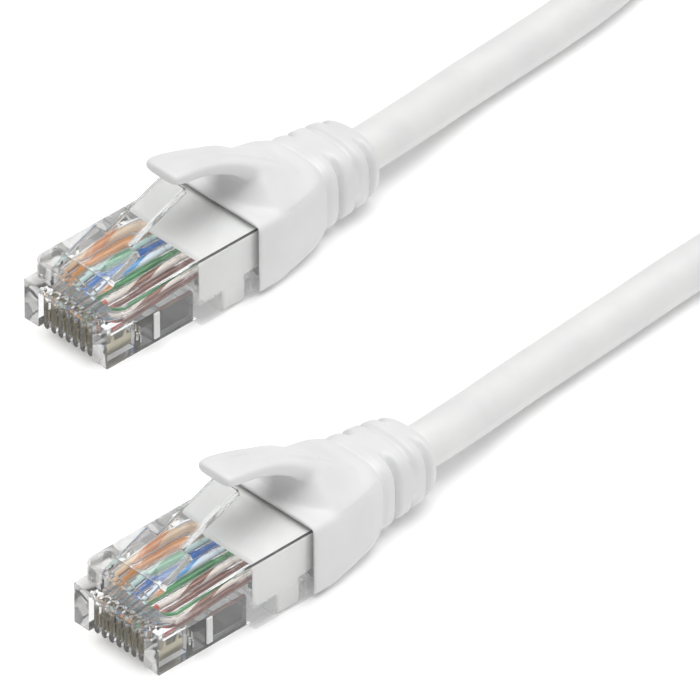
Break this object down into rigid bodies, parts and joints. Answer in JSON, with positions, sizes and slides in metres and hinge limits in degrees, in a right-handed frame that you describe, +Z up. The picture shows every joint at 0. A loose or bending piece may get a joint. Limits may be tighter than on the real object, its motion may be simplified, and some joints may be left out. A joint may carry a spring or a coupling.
{
  "type": "ethernet patch cable",
  "caption": "Ethernet patch cable: clear eight-way modular plugs with press-down latches and white moulded boots with thumb hoods, joined by a round cord stored in a coil",
  "frame": {"origin": "on the ground plane, midway between the two plugs, at the bottom centre of the plugs' common box", "axes": "+X from the plugs' noses to the cord, +Y across the plugs towards plug a, +Z up"},
  "size_m": [0.1838, 0.0746, 0.0158],
  "materials": {
    "clear_plastic": "clear polycarbonate, glossy",
    "boot_pvc": "white flexible PVC, satin",
    "cord_jacket": "white round PVC jacket, satin",
    "inner_mould": "white moulded plastic",
    "contact_gold": "gold-plated phosphor bronze",
    "wire_white_orange": "insulated wire, smooth",
    "wire_orange": "insulated wire, smooth",
    "wire_white_green": "insulated wire, smooth",
    "wire_blue": "insulated wire, smooth",
    "wire_white_blue": "insulated wire, smooth",
    "wire_green": "insulated wire, smooth",
    "wire_white_brown": "insulated wire, smooth",
    "wire_brown": "insulated wire, smooth"
  },
  "bodies": {
    "root": {"housing_a": "clear_plastic", "strain_relief_bar_a": "clear_plastic", "inner_mould_a": "inner_mould", "boot_a": "boot_pvc", "contact_1_a": "contact_gold", "wire_1_white_orange_a": "wire_white_orange", "contact_2_a": "contact_gold", "wire_2_orange_a": "wire_orange", "contact_3_a": "contact_gold", "wire_3_white_green_a": "wire_white_green", "contact_4_a": "contact_gold", "wire_4_blue_a": "wire_blue", "contact_5_a": "contact_gold", "wire_5_white_blue_a": "wire_white_blue", "contact_6_a": "contact_gold", "wire_6_green_a": "wire_green", "contact_7_a": "contact_gold", "wire_7_white_brown_a": "wire_white_brown", "contact_8_a": "contact_gold", "wire_8_brown_a": "wire_brown", "cord_run_a": "cord_jacket", "housing_b": "clear_plastic", "strain_relief_bar_b": "clear_plastic", "inner_mould_b": "inner_mould", "boot_b": "boot_pvc", "contact_1_b": "contact_gold", "wire_1_white_orange_b": "wire_white_orange", "contact_2_b": "contact_gold", "wire_2_orange_b": "wire_orange", "contact_3_b": "contact_gold", "wire_3_white_green_b": "wire_white_green", "contact_4_b": "contact_gold", "wire_4_blue_b": "wire_blue", "contact_5_b": "contact_gold", "wire_5_white_blue_b": "wire_white_blue", "contact_6_b": "contact_gold", "wire_6_green_b": "wire_green", "contact_7_b": "contact_gold", "wire_7_white_brown_b": "wire_white_brown", "contact_8_b": "contact_gold", "wire_8_brown_b": "wire_brown", "cord_run_b": "cord_jacket", "cord_coil": "cord_jacket"},
    "hood_a": {"boot_hood_a": "boot_pvc"},
    "latch_arm_a": {"latch_a": "clear_plastic"},
    "hood_b": {"boot_hood_b": "boot_pvc"},
    "latch_arm_b": {"latch_b": "clear_plastic"}
  },
  "joints": [
    {"name": "hood_press_a", "type": "hinge", "parent": "root", "child": "hood_a", "pos_m": [0.0222, 0.01935, 0.00975], "axis": [0, -1, 0], "range_deg": [0, 15], "stiffness_Nm_per_rad": 0.01},
    {"name": "latch_press_a", "type": "hinge", "parent": "root", "child": "latch_arm_a", "pos_m": [-0.0022, 0.01935, 0.00835], "axis": [0, 1, 0], "range_deg": [0, 14]},
    {"name": "hood_press_b", "type": "hinge", "parent": "root", "child": "hood_b", "pos_m": [-0.0075, -0.01935, 0.00975], "axis": [0, -1, 0], "range_deg": [0, 15], "stiffness_Nm_per_rad": 0.01},
    {"name": "latch_press_b", "type": "hinge", "parent": "root", "child": "latch_arm_b", "pos_m": [-0.0319, -0.01935, 0.00835], "axis": [0, 1, 0], "range_deg": [0, 14]}
  ],
  "couplings": [
    {"joint": "latch_press_a", "follows": "hood_press_a", "ratio": 0.9},
    {"joint": "latch_press_b", "follows": "hood_press_b", "ratio": 0.9}
  ]
}
